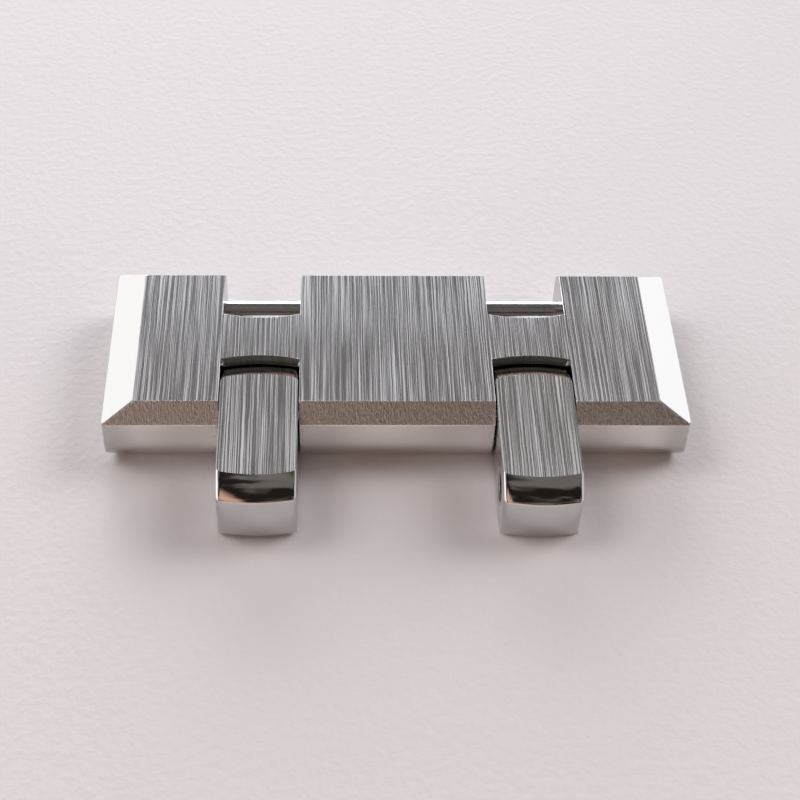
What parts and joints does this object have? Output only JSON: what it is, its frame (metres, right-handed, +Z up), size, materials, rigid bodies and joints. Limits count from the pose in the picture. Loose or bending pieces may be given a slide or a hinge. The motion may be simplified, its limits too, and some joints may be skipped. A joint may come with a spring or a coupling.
{
  "type": "watch bracelet link",
  "caption": "Wide steel watch bracelet link with bevelled edges, slots crossed by slotted bar screws, and hinged studs whose free ends join the next link.",
  "frame": {"origin": "middle of the wide link's flat underside", "axes": "+X across the wrist along the wide link, -Y towards the free ends of the studs, +Z up through the brushed top"},
  "size_m": [0.0262, 0.0142, 0.0032],
  "materials": {
    "link_steel": "lengthwise satin brushing on top, mirror polish on the end bevels, fine grain on the front and rear faces",
    "stud_steel": "lengthwise satin brushing on top, mirror polish on the bevels and end faces",
    "bar_steel": "turned and polished"
  },
  "bodies": {
    "link": {"link_body": "link_steel", "front_left_bar": "bar_steel", "front_right_bar": "bar_steel", "rear_left_bar": "bar_steel", "rear_right_bar": "bar_steel"},
    "left_stud": {"left_stud": "stud_steel"},
    "right_stud": {"right_stud": "stud_steel"}
  },
  "joints": [
    {"name": "left_stud_fold", "type": "hinge", "parent": "link", "child": "left_stud", "pos_m": [-0.00615, -0.00312, 0.0016], "axis": [1, 0, 0], "range_deg": [-3.95, 44.05]},
    {"name": "right_stud_fold", "type": "hinge", "parent": "link", "child": "right_stud", "pos_m": [0.00615, -0.00312, 0.0016], "axis": [1, 0, 0], "range_deg": [-5.37, 42.63]}
  ]
}
